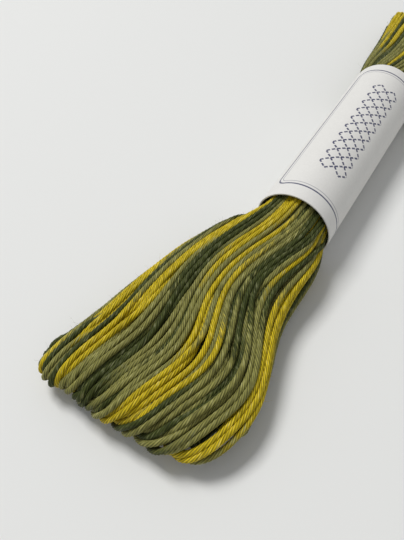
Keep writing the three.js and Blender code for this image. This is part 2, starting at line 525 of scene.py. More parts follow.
class Winding:
    """Lays the turns of one thread round the skein's form."""

    def __init__(self, form, settings, rng):
        self.form = form
        self.settings = settings
        self.shares, self.layers = lay_turns(settings, rng)
        self.knots = {over: wander_knots(rng) for over in (True, False)}

    def pass_line(self, rng, over, share, lean, depth, ends, near_tip):
        """Points of one pass over or under the skein, between two ends along X."""
        settings = self.settings
        start, stop = ends
        count = max(int(abs(stop - start) / POINT_SPACING), FEWEST_POINTS)
        places = np.linspace(start, stop, count)
        drift = settings.wander * wander_at(self.knots[over], places, share)
        drift += settings.stray * slow_noise(rng, places, WANDER_LENGTH)
        drift += settings.crinkle * slow_noise(rng, places, CRINKLE_LENGTH)
        drift *= edge_room(share)
        leaning = np.clip(1 - (places - near_tip - NOSE_DEPTH) / LEAN_LENGTH, 0, 1) ** 2
        lift = settings.sink * settings.diameter * slow_noise(rng, places, WANDER_LENGTH)
        bow = settings.bow * (1 - share) * max(edge_room(share), EDGE_BOW)
        away = (band_middle.x - BAND_LENGTH / 2 - places) / BOW_LENGTH
        bowing = np.sin(math.pi * np.clip(away, 0, 1)) ** 2
        strayed = share + drift + lean * leaning + bow * bowing
        groove = LOCK_GROOVE * settings.diameter * (0.5 - 0.5 * np.cos(math.tau * LOCKS * strayed))
        return self.form.inside(places, strayed, over, depth + lift + groove)

    def tip(self, rng, tips, share, way, layer):
        """How far a loop reaches along X at a share of one end."""
        settings = self.settings
        short = settings.stagger * rng.beta(*STAGGER_SHAPE) + layer * settings.diameter - settings.reach
        reach = float(np.interp(share, np.linspace(0, 1, SHARES), tips))
        return reach + way * (settings.diameter / 2 + short)

    def turn_line(self, turn):
        """Points of one turn: from the band over to the near end, under to the far end and back over."""
        settings = self.settings
        rng = np.random.default_rng((settings.seed, turn))
        share, layer = self.shares[turn], self.layers[turn]
        following = self.shares[min(turn + 1, len(self.shares) - 1)]
        back = np.clip(share + rng.normal(0, RETURN_JITTER) * edge_room(share), 0, 1)
        lean = settings.lean * (1 - share) * edge_room(share)
        slant = 0.0 if layer else settings.slant * (1 - share)
        near_share = min(share + lean + slant * 0.5 ** NOSE_SWEEP, 1.0)
        near_tip = self.tip(rng, self.form.near_tips, near_share, 1, layer)
        far_tip = self.tip(rng, self.form.far_tips, (back + following) / 2, -1, layer)
        sunk = min(rng.exponential(settings.sink), DEEPEST_SINK)
        depth = settings.diameter / 2 + (layer * LAYER_STEP + sunk) * settings.diameter
        middle, near_end, far_end = band_middle.x, near_tip + NOSE_DEPTH, far_tip - NOSE_DEPTH
        first = self.pass_line(rng, True, share, lean, depth, (middle, near_end), near_tip)
        under = self.pass_line(rng, False, back, lean + slant, depth, (near_end, far_end), near_tip)
        last = self.pass_line(rng, True, following, 0.0, depth, (far_end, middle), near_tip)
        near_nose = nose_line(first[-1], under[0], near_tip)
        far_nose = nose_line(under[-1], last[0], far_tip)
        return np.concatenate([first, near_nose, under, far_nose, last[:-1]])

    def thread(self):
        """The whole thread as one line of evenly spaced points, and the turn that each belongs to."""
        lines = [self.turn_line(turn) for turn in range(len(self.shares))]
        owners = np.repeat(np.arange(len(lines)), [len(line) for line in lines])
        line = np.concatenate(lines)
        points, nearest = even_line(line, int(walked(line)[-1] / POINT_SPACING))
        return points, owners[nearest]


# Settling the turns against each other

CONTACT_SHARE = 0.98
FIRST_CONTACT = 0.3
GROWING_SHARE = 0.7
SEARCH_SHARE = 1.5
REFRESH_ROUNDS = 8
PULL = 0.02
BEND = 0.26
STRAIGHTEN = 0.0625
PUSH = 0.45
TIGHT_GIVE = 0.5
SLACK_GIVE = 0.04
KIN = 3


def close_pairs(points, reach):
    """Pairs of points closer than a reach, found in a grid of cells, without neighbours on the line."""
    cells = np.floor(points / reach).astype(np.int64)
    cells -= cells.min(0) - 1
    size = cells.max(0) + 2
    keys = (cells[:, 0] * size[1] + cells[:, 1]) * size[2] + cells[:, 2]
    order = np.argsort(keys, kind="stable")
    ranked = keys[order]
    firsts, seconds = [], []
    steps = [(x, y, z) for x in (-1, 0, 1) for y in (-1, 0, 1) for z in (-1, 0, 1)]
    for x, y, z in steps[len(steps) // 2:]:
        wanted = ranked + (x * size[1] + y) * size[2] + z
        begin = np.searchsorted(ranked, wanted, "left")
        count = np.searchsorted(ranked, wanted, "right") - begin
        first = np.repeat(np.arange(len(ranked)), count)
        offset = np.arange(count.sum()) - np.repeat(np.cumsum(count) - count, count)
        second = np.repeat(begin, count) + offset
        if x == y == z == 0:
            first, second = first[first < second], second[first < second]
        firsts.append(order[first])
        seconds.append(order[second])
    first, second = np.concatenate(firsts), np.concatenate(seconds)
    near = np.linalg.norm(points[first] - points[second], axis=1) < reach
    keep = near & (np.abs(first - second) > KIN)
    return first[keep], second[keep]


def push_apart(points, pairs, contact):
    """Moves the points of each touching pair away from each other."""
    first, second = pairs
    gap = points[first] - points[second]
    distance = np.linalg.norm(gap, axis=1)
    reach = (contact[first] + contact[second]) / 2
    touching = distance < reach
    first, second = first[touching], second[touching]
    gap, distance, reach = gap[touching], distance[touching], reach[touching]
    step = gap * (PUSH * (reach - distance) / np.maximum(distance, TINY))[:, None]
    for axis in range(3):
        points[:, axis] += np.bincount(first, step[:, axis], len(points))
        points[:, axis] -= np.bincount(second, step[:, axis], len(points))


def keep_length(points, spacing):
    """Brings neighbours along the line back to their spacing, gently where the thread is slack."""
    for start in (0, 1):
        first = np.arange(start, len(points) - 1, 2)
        gap = points[first + 1] - points[first]
        distance = np.linalg.norm(gap, axis=1, keepdims=True)
        give = np.where(distance > spacing, TIGHT_GIVE, SLACK_GIVE)
        step = gap * (give * (distance - spacing) / np.maximum(distance, TINY))
        points[first] += step
        points[first + 1] -= step


def settle(points, form, settings):
    """Lets the turns push each other apart inside the form, while each stays smooth and as long."""
    wanted = points.copy()
    spacing = np.linalg.norm(np.diff(points, axis=0), axis=1).mean()
    thick = settings.diameter * thickness_at(points[:, 0])
    growing_rounds = GROWING_SHARE * settings.settle_rounds
    for done in range(settings.settle_rounds):
        if done % REFRESH_ROUNDS == 0:
            pairs = close_pairs(points, settings.diameter * SEARCH_SHARE)
        points += PULL * (wanted - points)
        middle = (points[:-2] + points[2:]) / 2
        points[1:-1] += BEND * (middle - points[1:-1])
        wide = (points[:-4] + points[4:]) / 2
        points[2:-2] += STRAIGHTEN * (wide - points[2:-2])
        grown = min(1.0, FIRST_CONTACT + (1 - FIRST_CONTACT) * done / growing_rounds)
        push_apart(points, pairs, thick * CONTACT_SHARE * grown)
        form.hold(points, thick / 2)
        keep_length(points, spacing)
    return points


# Making the thread's surface

FINE_STEPS = 2
HIDDEN_STRIDE = 3
UNDERSIDE = 1.8
HIDDEN_MARGIN = 5 * MM
WIDEST_TWISTED_SPAN = 1.6 * POINT_SPACING
TWIST_NOISE = 0.25
TWIST_NOISE_LENGTH = 14 * MM
THICKNESS_NOISE = 0.05
THICKNESS_NOISE_LENGTH = 5 * MM
CREST_SHARE = 0.4
DYE_STRAY_LENGTH = 220 * MM
THREAD_PIECES = 6
THREAD_NAME = "thread_turns"
STRIP_MARGIN = 0.04


def ring_places(points, owners, settings):
    """Where along the line the surface has its rings.

    They are close together, sparser on turns that hardly show and sparsest where the band hides them.
    """
    hidden = past_band(points[:, 0]) < -HIDDEN_MARGIN
    inner = owners < settings.turns - settings.outer_turns
    coarse = hidden | inner | (points[:, 2] < UNDERSIDE * settings.diameter)
    places = []
    for index in range(len(points) - 1):
        if hidden[index] and hidden[index - 1] and index % HIDDEN_STRIDE:
            continue
        steps = 1 if coarse[index] else FINE_STEPS
        places.extend(index + step / steps for step in range(steps))
    places.append(len(points) - 1.0)
    return np.array(places)


def smooth_line(points, places):
    """Points of a smooth curve through the line, and the way that it runs."""
    last = len(points) - 1
    before = np.clip(np.floor(places).astype(int), 0, last - 1)
    share = (places - before)[:, None]
    earlier, start = points[np.maximum(before - 1, 0)], points[before]
    end, later = points[before + 1], points[np.minimum(before + 2, last)]
    slope = end - earlier
    curve = 2 * earlier - 5 * start + 4 * end - later
    swing = 3 * start - earlier - 3 * end + later
    line = (2 * start + slope * share + curve * share ** 2 + swing * share ** 3) / 2
    return line, unit(slope + 2 * curve * share + 3 * swing * share ** 2)


def carried_sides(ways):
    """A sideways direction at each ring, carried along the line without turning round it."""
    side = Vector((0, 1, 0))
    sides = []
    for way in ways:
        ahead = Vector(way)
        side = (side - ahead * side.dot(ahead)).normalized()
        sides.append(side.copy())
    return np.array(sides)


def dye_places(along, settings):
    """Places in the dye cycle along the thread: each turn takes up a little less than two cycles."""
    turn_length = along[-1] / settings.turns
    stray = slow_noise(np.random.default_rng(settings.dye_seed), along, DYE_STRAY_LENGTH)
    cycles = 2 * along / (turn_length + settings.dye_drift)
    return cycles + settings.dye_start + settings.dye_uneven * stray


def strip_map(along, turns, sides):
    """Corners of a tube's map, on which each turn is a strip, and after them those of its end caps."""
    strips = turns[:-1] - turns[0]
    count = strips.max() + 1
    starts = np.array([along[:-1][strips == strip].min() for strip in range(count)])
    ends = np.array([along[1:][strips == strip].max() for strip in range(count)])
    low = (along[:-1] - starts[strips]) / (ends - starts)[strips]
    high = (along[1:] - starts[strips]) / (ends - starts)[strips]
    edge = np.arange(sides + 1) / sides * (1 - 2 * STRIP_MARGIN) + STRIP_MARGIN
    across = (strips[:, None, None] + np.stack([edge[:-1], edge[1:], edge[1:], edge[:-1]], -1)) / count
    upward = np.stack([low, low, high, high], -1)[:, None]
    corners = np.stack(np.broadcast_arrays(across, upward), -1).reshape(-1, 2)
    return np.concatenate([corners, np.full((2 * sides, 2), 0.5 / count)])


def thread_pieces(points, owners, settings, rng):
    """Pieces of the plied thread, each a closed tube of several whole turns."""
    places = ring_places(points, owners, settings)
    centres, ways = smooth_line(points, places)
    sides = carried_sides(ways)
    across = np.cross(ways, sides)
    along = walked(centres)
    spans = np.diff(along, prepend=0.0)
    twisted = np.where(spans < WIDEST_TWISTED_SPAN, spans, 0.0)
    dye = dye_places(along, settings)
    uneven = 1 + TWIST_NOISE * slow_noise(rng, along, TWIST_NOISE_LENGTH)
    twist = -math.tau * np.cumsum(twisted * uneven) / settings.pitch
    radius = settings.diameter / 2 * thickness_at(centres[:, 0])
    radius *= 1 + THICKNESS_NOISE * slow_noise(rng, along, THICKNESS_NOISE_LENGTH)
    round_points = 2 * settings.plies
    crest = np.arange(round_points) % 2 == 0
    share = 1 + settings.ply_depth * np.where(crest, CREST_SHARE, CREST_SHARE - 1)
    angles = twist[:, None] + np.arange(round_points) * math.tau / round_points
    out = np.cos(angles)[..., None] * sides[:, None] + np.sin(angles)[..., None] * across[:, None]
    surface = centres[:, None] + out * (radius[:, None] * share)[..., None]
    ring_turn = owners[places.astype(int)]
    bounds = np.linspace(0, settings.turns, THREAD_PIECES + 1).astype(int)
    made = []
    for number, (first, stop) in enumerate(zip(bounds[:-1], bounds[1:])):
        rings = np.flatnonzero((ring_turn >= first) & (ring_turn < stop))
        if stop < settings.turns:
            rings = np.append(rings, rings[-1] + 1)
        piece = new_tubes(f"{THREAD_NAME}_{number + 1}", surface[rings][None])
        # Crest mask: it drives bumps, painted shade in the grooves and painted light on the crests.
        plies = np.tile(crest.astype(float), len(rings))
        add_values(piece, dye=np.repeat(dye[rings], round_points), ply=plies)
        add_map(piece, strip_map(along[rings], ring_turn[rings], round_points))
        made.append(piece)
    return made


# Stray fibres

FIBRE_RINGS = 4
FIBRE_SIDES = 3
FIBRE_DEPTH = 0.6 * MM
FIBRE_CLEARANCE = 1.0 * MM
FIBRE_FACING = 0.3
SHORTEST_FIBRE = 0.35
FIBRE_SPREAD = 0.55
LONGEST_FIBRE = 2.2
FIBRE_CURL = 0.45
FIBRE_TAPER = 0.6
FIBRE_CELL = 0.9


def thread_surface(scene):
    """Places, normals and places in the dye cycle of all points of the wound thread."""
    meshes = [piece.data for piece in scene.objects if piece.name.startswith(THREAD_NAME)]
    places = [read(mesh.vertices, "co", 3) for mesh in meshes]
    normals = [read(mesh.vertex_normals, "vector", 3) for mesh in meshes]
    dye = [read(mesh.attributes["dye"].data, "value", 1) for mesh in meshes]
    return np.concatenate(places), np.concatenate(normals), np.concatenate(dye)


def fibre_roots(scene, settings, rng):
    """Points of the thread's surface that face out of the skein, clear of the band and the table."""
    tree = solid_tree()
    places, normals, dye = thread_surface(scene)
    free = (past_band(places[:, 0]) > FIBRE_CLEARANCE) & (places[:, 2] > FIBRE_CLEARANCE)
    picked = []
    for point in rng.permutation(np.flatnonzero(free)):
        _, outward, _, distance = tree.find_nearest(Vector(places[point]))
        if distance < FIBRE_DEPTH and outward.dot(Vector(normals[point])) > FIBRE_FACING:
            picked.append(point)
        if len(picked) == settings.count:
            break
    return places[picked], normals[picked], dye[picked]


def stray_fibres(scene, settings, rng):
    """Short thin fibres that stand out of the outermost thread, in one piece."""
    roots, outs, dye = fibre_roots(scene, settings, rng)
    count = len(roots)
    lean = unit(outs + rng.normal(0, 1, (count, 3)))
    curl = unit(rng.normal(0, 1, (count, 3)))
    spread = SHORTEST_FIBRE + rng.exponential(FIBRE_SPREAD, count)
    length = settings.length * np.minimum(spread, LONGEST_FIBRE)
    reach = np.linspace(0, 1, FIBRE_RINGS)
    spine = (roots[:, None] + lean[:, None] * (length[:, None] * reach)[..., None]
             + curl[:, None] * (FIBRE_CURL * length[:, None] * reach ** 2)[..., None])
    spine[..., 2] = np.maximum(spine[..., 2], settings.thickness)
    side = unit(np.cross(lean, curl))
    other = np.cross(lean, side)
    turn = np.arange(FIBRE_SIDES) * math.tau / FIBRE_SIDES
    out = np.cos(turn)[:, None] * side[:, None] + np.sin(turn)[:, None] * other[:, None]
    taper = settings.thickness / 2 * (1 - FIBRE_TAPER * reach)
    piece = new_tubes("stray_fibres", spine[:, :, None] + out[:, None] * taper[:, None, None])
    per_fibre = FIBRE_RINGS * FIBRE_SIDES
    # A ply value of 1 gives the fibres the crests' painted light.
    add_values(piece, dye=np.repeat(dye, per_fibre), ply=np.ones(count * per_fibre))
    columns = math.ceil(math.sqrt(count))
    cell = np.stack([np.arange(count) % columns, np.arange(count) // columns], 1) / columns
    sides = np.arange(FIBRE_SIDES)[None, :] / FIBRE_SIDES
    place = np.stack(np.broadcast_arrays(sides, reach[:, None]), -1) * FIBRE_CELL / columns
    add_point_map(piece, (cell[:, None, None] + place[None]).reshape(-1, 2))
    return piece


# The paper band

BAND_START = math.radians(-75)
BAND_EASE = math.radians(40)
BAND_SIDES = 150
BAND_RINGS = 50
BORE_PAPERS = 2.6
PAPER_LIFT = 1.15
PAPER_WAVE = 0.05 * MM
WAVE_LENGTH = 11 * MM
WAVE_ANGLE = 0.9
SKIN_SHARE = 0.49
BAND_SEED = 3


def band_faces():
    """Quads of the paper's outer skin, its inner skin and its four rims."""
    index = np.arange(2 * BAND_RINGS * BAND_SIDES).reshape(2, BAND_RINGS, BAND_SIDES)
    skins = np.stack([index[:, :-1, :-1], index[:, :-1, 1:], index[:, 1:, 1:], index[:, 1:, :-1]], -1)
    outside, inside = skins.reshape(2, -1, 4)
    faces = [outside, inside[:, [0, 3, 2, 1]]]
    rims = ((index[:, 0, :], 1), (index[:, -1, :], -1), (index[:, :, 0], -1), (index[:, :, -1], 1))
    for (outer, inner), way in rims:
        rim = np.stack([outer[:-1], inner[:-1], inner[1:], outer[1:]], -1)
        faces.append(rim[:, ::way])
    return np.concatenate(faces)


def mark_rims(piece):
    """Keeps the paper's cut edges sharp."""
    mesh = piece.data
    ends = read(mesh.edges, "vertices", 2, np.int32)
    row, column = ends // BAND_SIDES % BAND_RINGS, ends % BAND_SIDES
    sharp = np.zeros(len(ends), bool)
    for lines, last in ((row, BAND_RINGS - 1), (column, BAND_SIDES - 1)):
        sharp |= (lines == 0).all(1) | (lines == last).all(1)
    mesh.attributes.new("sharp_edge", "BOOLEAN", "EDGE").data.foreach_set("value", sharp)


def band_piece(settings, rng):
    """A strip of paper rolled round the waist, lapped over its own start, with a flat spot on the table."""
    lap = settings.lap / BAND_RADIUS
    angles = np.linspace(BAND_START, BAND_START + math.tau + lap, BAND_SIDES)
    tucked = 1 - smooth((angles - BAND_START - lap) / BAND_EASE)
    places = np.linspace(band_low.x, band_high.x, BAND_RINGS)
    waves = slow_noise(rng, places, WAVE_LENGTH), slow_noise(rng, angles, WAVE_ANGLE)
    dent = np.abs(PAPER_WAVE * np.outer(*waves))
    radius = BAND_RADIUS - PAPER_LIFT * settings.paper * tucked[None] - dent
    skins = []
    for depth in (0.0, settings.paper):
        across = band_middle.y + (radius - depth) * np.cos(angles)
        height = np.maximum(BAND_AXIS_HEIGHT + (radius - depth) * np.sin(angles), depth)
        skins.append(np.stack([np.broadcast_to(places[:, None], across.shape), across, height], -1))
    piece = new_mesh_piece("paper_wrap", skins, band_faces())
    mark_rims(piece)
    around, along = np.meshgrid(np.linspace(0, 1, BAND_SIDES), np.linspace(0, 1, BAND_RINGS))
    sheets = [np.stack([start + around * SKIN_SHARE, along], -1) for start in (0, 1 - SKIN_SHARE)]
    add_point_map(piece, np.reshape(sheets, (-1, 2)))
    return piece


# Node helpers

NODE_STEP = 180


def feed(tree, value, target):
    """Joins a socket to an input, or sets the input to a plain value."""
    if isinstance(value, bpy.types.NodeSocket):
        tree.links.new(value, target)
    else:
        target.default_value = value


def add_node(tree, kind, inputs=None, **values):
    """A node to the right of the others, with its properties set and its inputs fed."""
    node = tree.nodes.new(kind)
    node.location.x = NODE_STEP * len(tree.nodes)
    for name, value in values.items():
        setattr(node, name, value)
    for name, value in (inputs or {}).items():
        feed(tree, value, node.inputs[name])
    return node


def math_node(tree, operation, *values):
    """Result of a sum on one or two values, each a socket or a number."""
    return add_node(tree, "ShaderNodeMath", dict(enumerate(values)), operation=operation).outputs[0]


def vector_node(tree, operation, *values):
    """Result of a sum on one or two vectors, each a socket or three numbers."""
    return add_node(tree, "ShaderNodeVectorMath", dict(enumerate(values)), operation=operation).outputs[0]


def ranged(tree, value, before, after):
    """A value mapped from one range to another, and held inside it."""
    names = ("Value", "From Min", "From Max", "To Min", "To Max")
    inputs = dict(zip(names, (value, *before, *after)))
    return add_node(tree, "ShaderNodeMapRange", inputs).outputs["Result"]


def mixed(tree, share, first, second):
    """A first colour with a share of a second one."""
    inputs = {"Factor": share, "A": first, "B": second}
    return add_node(tree, "ShaderNodeMix", inputs, data_type="RGBA").outputs["Result"]


def bumped(tree, height, strength, distance):
    """Normal of a surface with small bumps."""
    inputs = {"Height": height, "Strength": strength, "Distance": distance}
    return add_node(tree, "ShaderNodeBump", inputs).outputs["Normal"]


def new_material(name):
    """A material and its tree of nodes."""
    material = bpy.data.materials.new(name)
    material.use_nodes = True
    return material, material.node_tree


def feed_shader(tree, inputs):
    """Feeds a material's shader and moves it and the output to the right of the other nodes."""
    shader, output = tree.nodes["Principled BSDF"], tree.nodes["Material Output"]
    for name, value in inputs.items():
        feed(tree, value, shader.inputs[name])
    shader.location.x = NODE_STEP * (len(tree.nodes) + 1)
    output.location.x = shader.location.x + 2 * NODE_STEP


# Fibres on thread and paper

FINE_DETAIL = 3
FINE_WEIGHT = 0.75
BROAD_DETAIL = 1
BROAD_SCALE = 0.21


def fibre_group():
    """Fine fibres that run along a thread or lie in paper: a height, and a mask of light and dark ones. On
    the thread the light ones are partly painted highlights.
    """
    group = bpy.data.node_groups.get("Fibres")
    if group is not None:
        return group
    group = bpy.data.node_groups.new("Fibres", "ShaderNodeTree")
    for name, kind in (("Vector", "NodeSocketVector"), ("Scale", "NodeSocketFloat")):
        group.interface.new_socket(name, in_out="INPUT", socket_type=kind)
    for name in ("Height", "Mask"):
        group.interface.new_socket(name, in_out="OUTPUT", socket_type="NodeSocketFloat")
    entry = add_node(group, "NodeGroupInput").outputs
    slower = math_node(group, "MULTIPLY", entry["Scale"], BROAD_SCALE)
    noises = []
    for scale, detail in ((entry["Scale"], FINE_DETAIL), (slower, BROAD_DETAIL)):
        inputs = {"Vector": entry["Vector"], "Scale": scale, "Detail": detail}
        noises.append(add_node(group, "ShaderNodeTexNoise", inputs).outputs["Fac"])
    weights = (FINE_WEIGHT, 1 - FINE_WEIGHT)
    parts = [math_node(group, "MULTIPLY", noise, weight) for noise, weight in zip(noises, weights)]
    mask = math_node(group, "ADD", *parts)
    add_node(group, "NodeGroupOutput", {"Height": noises[0], "Mask": mask})
    return group


def fibres_on_map(tree, stretch, scale):
    """A piece's map, stretched, and the height and the mask of the fibres on it."""
    flat_map = add_node(tree, "ShaderNodeUVMap", uv_map=MAP_NAME).outputs["UV"]
    spot = add_node(tree, "ShaderNodeMapping", {"Vector": flat_map, "Scale": stretch}).outputs["Vector"]
    inputs = {"Vector": spot, "Scale": scale}
    fibres = add_node(tree, "ShaderNodeGroup", inputs, node_tree=fibre_group()).outputs
    return spot, fibres["Height"], fibres["Mask"]


# The thread's material

DYE_CYCLE = (("yellow", 0.31), ("olive", 0.205), ("green", 0.28), ("olive", 0.205))
DYE_CHANGE = 0.036
DYE_RAGGED = 0.17
FIBRES_ACROSS_TURN = 5.5
FIBRES_ALONG_TURN = 95
THREAD_FIBRE_SCALE = 2.0
GROOVE_PLIES = (0.0, 0.8)
# Painted shade in the grooves between plies and painted light on their crests.
PAINTED_PLY_SHADE_AND_LIGHT = (0.4, 1.2)
UNEVEN_MASK = (0.36, 0.64)
# Fibre streaks: random tone, and painted highlights along the plies.
STREAK_TONE_AND_PAINTED_HIGHLIGHT = (0.6, 1.34)
# Pale lint on the highest fibres, which is also a painted whitish highlight.
LINT_AND_HIGHLIGHT_HEIGHTS = (0.55, 0.72)
LINT_AND_HIGHLIGHT_SHARES = (0.0, 0.22)
PLY_HEIGHT = 0.6
THREAD_BUMP = 0.8
THREAD_BUMP_DEPTH = 0.1 * MM
THREAD_SHADER = {
    "Roughness": 0.62,
    "Specular IOR Level": 0.14,
    "Sheen Weight": 0.03,
    "Sheen Roughness": 0.5,
}


def dye_ramp(ramp, settings):
    """Sets a ramp to the shares of the dye cycle, with a soft change between two dyes."""
    dyes = [np.array((*getattr(settings, name), 1.0)) for name, _ in DYE_CYCLE]
    for element in ramp.elements:
        element.color = (dyes[0] + dyes[-1]) / 2
    start = 0.0
    for (_, share), colour in zip(DYE_CYCLE, dyes):
        for position in (start + DYE_CHANGE / 2, start + share - DYE_CHANGE / 2):
            ramp.elements.new(position).color = colour
        start += share


def thread_material(settings):
    """Dyed cotton: colours along the thread, painted shade in the ply grooves and painted light on the
    crests, fibre streaks and pale lint that are partly painted highlights, and a soft sheen.
    """
    material, tree = new_material(THREAD_MATERIAL)
    dye = add_node(tree, "ShaderNodeAttribute", attribute_name="dye").outputs["Fac"]
    ply = add_node(tree, "ShaderNodeAttribute", attribute_name="ply").outputs["Fac"]
    stretch = (settings.turns / THREAD_PIECES * FIBRES_ACROSS_TURN, FIBRES_ALONG_TURN, 1)
    _, fibre, mask = fibres_on_map(tree, stretch, THREAD_FIBRE_SCALE)
    ragged = math_node(tree, "ADD", dye, math_node(tree, "MULTIPLY", mask, DYE_RAGGED))
    ramp = add_node(tree, "ShaderNodeValToRGB", {"Fac": math_node(tree, "FRACT", ragged)})
    dye_ramp(ramp.color_ramp, settings)
    # Painted shade in the ply grooves and painted light on the crests.
    groove = ranged(tree, ply, GROOVE_PLIES, PAINTED_PLY_SHADE_AND_LIGHT)
    # Fibre streaks: random tone, and painted highlights along the plies.
    uneven = ranged(tree, mask, UNEVEN_MASK, STREAK_TONE_AND_PAINTED_HIGHLIGHT)
    # The dye colour scaled by the painted ply shade and the streaks' painted highlights.
    painted_light_inputs = {0: ramp.outputs["Color"], "Scale": math_node(tree, "MULTIPLY", groove, uneven)}
    dye_with_painted_light = add_node(tree, "ShaderNodeVectorMath", painted_light_inputs, operation="SCALE").outputs["Vector"]
    # Pale lint on the highest fibres, which is also a painted whitish highlight.
    lint_and_highlight_share = ranged(tree, fibre, LINT_AND_HIGHLIGHT_HEIGHTS, LINT_AND_HIGHLIGHT_SHARES)
    height = math_node(tree, "ADD", fibre, math_node(tree, "MULTIPLY", ply, PLY_HEIGHT))
    feed_shader(tree, {
        **THREAD_SHADER,
        "Base Color": mixed(tree, lint_and_highlight_share, dye_with_painted_light, (*settings.lint_and_highlight, 1)),
        "Normal": bumped(tree, height, THREAD_BUMP, THREAD_BUMP_DEPTH),
    })
    return material


# The band's print, in millimetres on its map and angles round the band

FRAME_CORNER = 2.0
FRAME_TOP = 2.6
FRAME_SIDES = (math.radians(46), math.radians(236))
SECOND_LINE = 0.75
SECOND_WIDTH = 0.16
PANEL_HALF = (3.1, 15.6)
PANEL_ALONG = 25.5
PANEL_SIDE = math.radians(112)
LATTICE_STEP = 3.1
STITCH_WIDTH = 0.38
STITCH_SHARE = 0.68
STITCHES_IN_STEP = 2.0
LINE_BLUR = 0.06


def line_mask(tree, distance, offset, width):
    """1 on a printed line of a width, at an offset from where a distance is 0."""
    away = math_node(tree, "ABSOLUTE", math_node(tree, "ADD", distance, offset))
    return ranged(tree, away, (width / 2 - LINE_BLUR, width / 2 + LINE_BLUR), (1.0, 0.0))


def map_across(angle):
    """Place across the map of an angle round the band."""
    return (angle - BAND_START) * BAND_RADIUS / MM


def printed_frame(tree, spot, settings):
    """Masks of a dark and a thin line along a rounded frame."""
    low, high = (map_across(angle) for angle in FRAME_SIDES)
    bottom, top = settings.line_inset / MM, BAND_LENGTH / MM - FRAME_TOP
    middle = ((low + high) / 2, (bottom + top) / 2, 0)
    half = ((high - low) / 2 - FRAME_CORNER, (top - bottom) / 2 - FRAME_CORNER, 0)
    folded = vector_node(tree, "ABSOLUTE", vector_node(tree, "SUBTRACT", spot, middle))
    outside = vector_node(tree, "MAXIMUM", vector_node(tree, "SUBTRACT", folded, half), (0, 0, 0))
    size = add_node(tree, "ShaderNodeVectorMath", {0: outside}, operation="LENGTH").outputs["Value"]
    distance = math_node(tree, "SUBTRACT", size, FRAME_CORNER)
    dark = line_mask(tree, distance, 0.0, settings.line_width / MM)
    thin = line_mask(tree, distance, SECOND_LINE, SECOND_WIDTH)
    return dark, thin


def stitched_panel(tree, spot):
    """Mask of a lattice of running stitches in a narrow panel."""
    parts = add_node(tree, "ShaderNodeSeparateXYZ", {0: spot}).outputs
    across = math_node(tree, "SUBTRACT", parts["X"], map_across(PANEL_SIDE))
    along = math_node(tree, "SUBTRACT", parts["Y"], PANEL_ALONG)
    sums = [math_node(tree, way, across, along) for way in ("ADD", "SUBTRACT")]
    diagonals = [math_node(tree, "DIVIDE", value, LATTICE_STEP) for value in sums]
    stitches = []
    for line, dash in (diagonals, diagonals[::-1]):
        off = math_node(tree, "SUBTRACT", math_node(tree, "FRACT", line), 0.5)
        near = math_node(tree, "MULTIPLY", off, LATTICE_STEP / math.sqrt(2))
        beat = math_node(tree, "FRACT", math_node(tree, "MULTIPLY", dash, STITCHES_IN_STEP))
        sewn = math_node(tree, "LESS_THAN", beat, STITCH_SHARE)
        stitches.append(math_node(tree, "MULTIPLY", line_mask(tree, near, 0.0, STITCH_WIDTH), sewn))
    mask = math_node(tree, "MAXIMUM", *stitches)
    for axis, half in zip((across, along), PANEL_HALF):
        inside = math_node(tree, "LESS_THAN", math_node(tree, "ABSOLUTE", axis), half)
        mask = math_node(tree, "MULTIPLY", mask, inside)
    return mask


# The band's material

PAPER_FIBRE_SCALE = 2.2
PAPER_MASK = (0.3, 0.7)
PAPER_SHADES = (0.94, 1.0)
THIN_INK = 0.55
WORN_HEIGHTS = (0.25, 0.6)
WORN_SHARES = (0.8, 0.97)
PAPER_BUMP = 0.12
PAPER_BUMP_DEPTH = 0.05 * MM
PAPER_SHADER = {"Roughness": 0.5, "Specular IOR Level": 0.4}


def paper_material(settings):
    """White paper with faint fibres, a thin printed frame and a panel of running stitches."""
    material, tree = new_material("printed_paper")
    around = (math.tau * BAND_RADIUS + settings.lap) / MM
    stretch = (around / SKIN_SHARE, BAND_LENGTH / MM, 1)
    spot, fibre, mask = fibres_on_map(tree, stretch, PAPER_FIBRE_SCALE)
    tone = add_node(tree, "ShaderNodeValToRGB", {"Fac": mask})
    for element, position, shade in zip(tone.color_ramp.elements, PAPER_MASK, PAPER_SHADES):
        element.position = position
        element.color = (*(shade * part for part in settings.paper_colour), 1)
    dark, thin = printed_frame(tree, spot, settings)
    ink = math_node(tree, "MAXIMUM", dark, stitched_panel(tree, spot))
    ink = math_node(tree, "MAXIMUM", ink, math_node(tree, "MULTIPLY", thin, THIN_INK))
    worn = math_node(tree, "MULTIPLY", ink, ranged(tree, fibre, WORN_HEIGHTS, WORN_SHARES))
    feed_shader(tree, {
        **PAPER_SHADER,
        "Base Color": mixed(tree, worn, tone.outputs["Color"], (*settings.ink_colour, 1)),
        "Normal": bumped(tree, fibre, PAPER_BUMP, PAPER_BUMP_DEPTH),
    })
    return material


# The stage

CAMERA_CLIP = 1 * MM
FLOOR_HALF = 1.5
FLOOR_DROP = 0.02 * MM
FLOOR_ROUGHNESS = 0.8
ROOM_COLOUR = (0.95, 0.97, 1.0, 1)
ROOM_STRENGTH = 0.33
LAMPS = {
    "key": {"place": (0.12, 0.58, 1.2), "power": 13.6, "size": 0.5},
    "fill": {"place": (-0.5, -0.3, 0.5), "power": 0.5, "size": 0.6},
}


